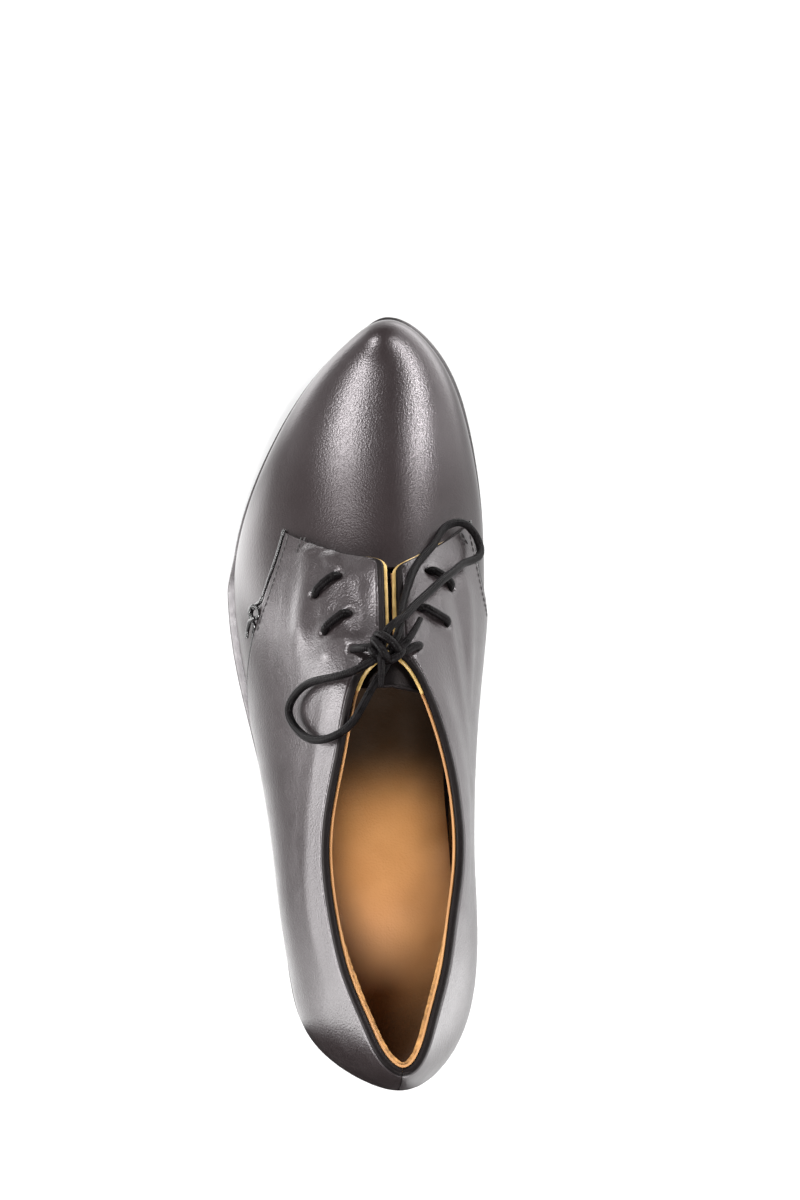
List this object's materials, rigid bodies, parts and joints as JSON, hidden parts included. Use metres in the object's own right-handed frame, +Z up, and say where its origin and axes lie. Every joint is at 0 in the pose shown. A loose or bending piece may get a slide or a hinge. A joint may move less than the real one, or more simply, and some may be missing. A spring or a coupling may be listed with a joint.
{
  "type": "lace-up shoe",
  "caption": "Left lace-up shoe in soft black leather with an almond toe, open lacing over a vamp, tan insole and a low block heel, standing empty on its sole.",
  "frame": {"origin": "centre of the bounding box on the floor plane, under the arch", "axes": "+Z up, +Y towards the toe, +X towards the inner side of the foot"},
  "size_m": [0.0883, 0.2612, 0.0874],
  "materials": {
    "black_leather": "soft calf leather, fine grain, semi-gloss",
    "sole_leather": "dyed sole leather, smooth edge",
    "heel_rubber": "matt rubber",
    "tan_leather": "vegetable-tanned leather, satin",
    "lace": "round waxed cord, satin"
  },
  "bodies": {
    "root": {"outsole": "sole_leather", "heel_block": "sole_leather", "heel_top_lift": "heel_rubber", "insole": "tan_leather", "upper": "black_leather", "tongue": "black_leather", "quarter_lateral": "black_leather", "quarter_medial": "black_leather", "lace_bar_lateral_front": "lace", "lace_bar_lateral_back": "lace", "lace_bar_lateral_top": "lace", "lace_bar_medial_front": "lace", "lace_bar_medial_back": "lace", "lace_bar_medial_top": "lace", "lace_knot": "lace", "lace_loop_lateral": "lace", "lace_loop_medial": "lace", "lace_end_lateral": "lace", "lace_end_medial": "lace", "seam_cord_lateral": "lace", "seam_cord_medial": "lace", "seam_knot_lateral": "lace"}
  },
  "joints": []
}
